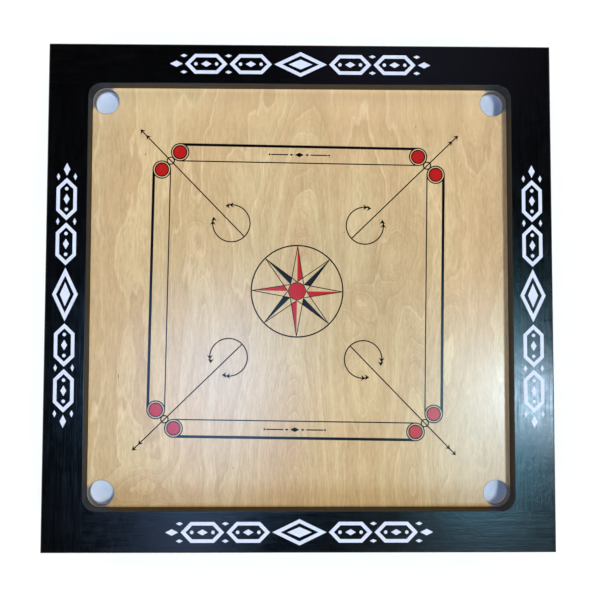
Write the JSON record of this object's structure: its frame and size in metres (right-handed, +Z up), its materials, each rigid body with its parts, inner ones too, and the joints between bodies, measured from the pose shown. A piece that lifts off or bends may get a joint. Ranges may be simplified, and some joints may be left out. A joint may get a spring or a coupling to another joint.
{
  "type": "carrom board",
  "caption": "Square carrom board: lacquered plywood panel in lapped black wooden rails, with battens under it, corner pockets with net pouches, and printed court lines.",
  "frame": {"origin": "middle of the footprint, at the level of the frame's underside, which the board rests on", "axes": "+Z up, square to the playing surface; +X to the right and +Y away from the front player, along the frame's sides"},
  "size_m": [0.8766, 0.8766, 0.0601],
  "materials": {
    "panel_ply": "clear gloss lacquer over rotary-cut birch plywood",
    "black_paint": "satin black paint brushed over straight-grained wood",
    "batten_wood": "planed bare softwood",
    "net_cord": "white knitted nylon",
    "screw_steel": "zinc-plated steel",
    "tack_steel": "blued steel",
    "black_ink": "printed ink under lacquer",
    "red_ink": "printed ink under lacquer",
    "white_ink": "printed ink on black paint"
  },
  "bodies": {
    "root": {"play_panel": "panel_ply", "rail_front": "black_paint", "rail_right": "black_paint", "rail_back": "black_paint", "rail_left": "black_paint", "corner_block_front_right": "black_paint", "corner_block_back_right": "black_paint", "corner_block_back_left": "black_paint", "corner_block_front_left": "black_paint", "batten_front": "batten_wood", "batten_back": "batten_wood", "batten_left": "batten_wood", "batten_right": "batten_wood", "net_front_right": "net_cord", "net_back_right": "net_cord", "net_back_left": "net_cord", "net_front_left": "net_cord", "panel_screws": "screw_steel", "batten_screws": "screw_steel", "batten_end_screws": "screw_steel", "corner_screws": "screw_steel", "net_tacks": "tack_steel", "base_lines": "black_ink", "base_discs": "red_ink", "corner_arrows": "black_ink", "star_outlines": "black_ink", "star_dark_fills": "black_ink", "star_red_fills": "red_ink", "centre_disc": "red_ink", "lane_ornaments": "black_ink", "rail_ornament_front": "white_ink", "rail_ornament_right": "white_ink", "rail_ornament_back": "white_ink", "rail_ornament_left": "white_ink"}
  },
  "joints": []
}
